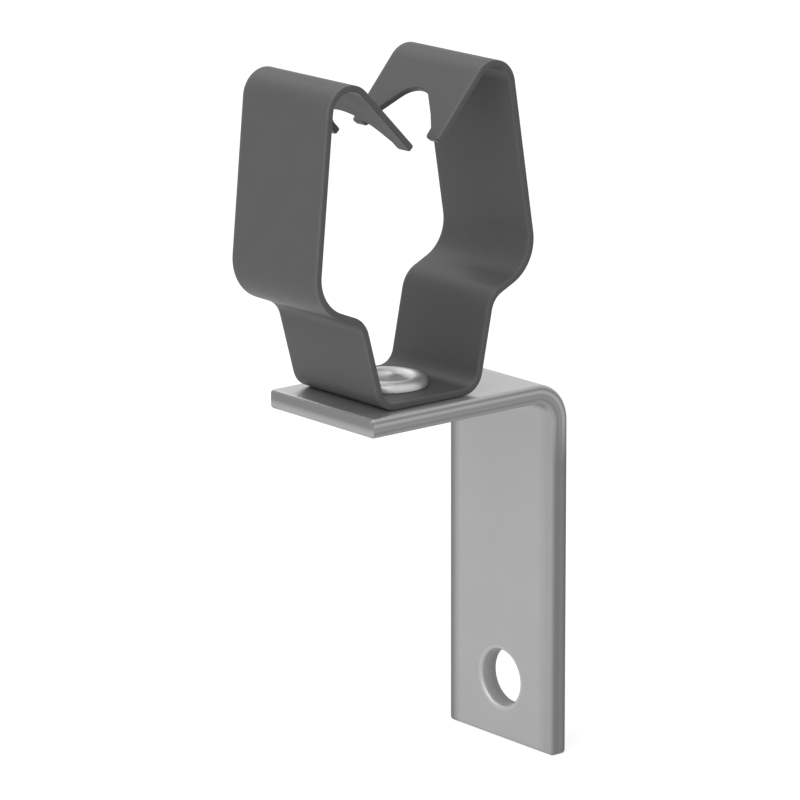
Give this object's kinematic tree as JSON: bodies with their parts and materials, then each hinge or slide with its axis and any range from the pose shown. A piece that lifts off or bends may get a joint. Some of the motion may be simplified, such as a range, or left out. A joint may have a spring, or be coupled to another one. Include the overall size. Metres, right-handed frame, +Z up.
{
  "type": "conduit clip",
  "caption": "Push-in spring clip for conduit with notched in-turned tabs, riveted to an angle bracket with a screw hole.",
  "frame": {"origin": "centre of the fixing hole, on the bracket's wall face", "axes": "+X into the wall, Y along the conduit, +Z up, towards the mouth of the clip"},
  "size_m": [0.0373, 0.0196, 0.0872],
  "materials": {
    "spring_steel": "dark oxide or phosphate finish, satin",
    "zinc_plated_steel": "bright zinc plate, satin",
    "rivet_steel": "bright zinc plate, polished by rolling"
  },
  "bodies": {
    "bracket": {"angle_bracket": "zinc_plated_steel", "rivet": "rivet_steel"},
    "clip": {"conduit_clip": "spring_steel"}
  },
  "joints": [
    {"name": "clip_swivel", "type": "hinge", "parent": "bracket", "child": "clip", "pos_m": [-0.0202, 0, 0.0395], "axis": [0, 0, 1], "continuous": true}
  ]
}
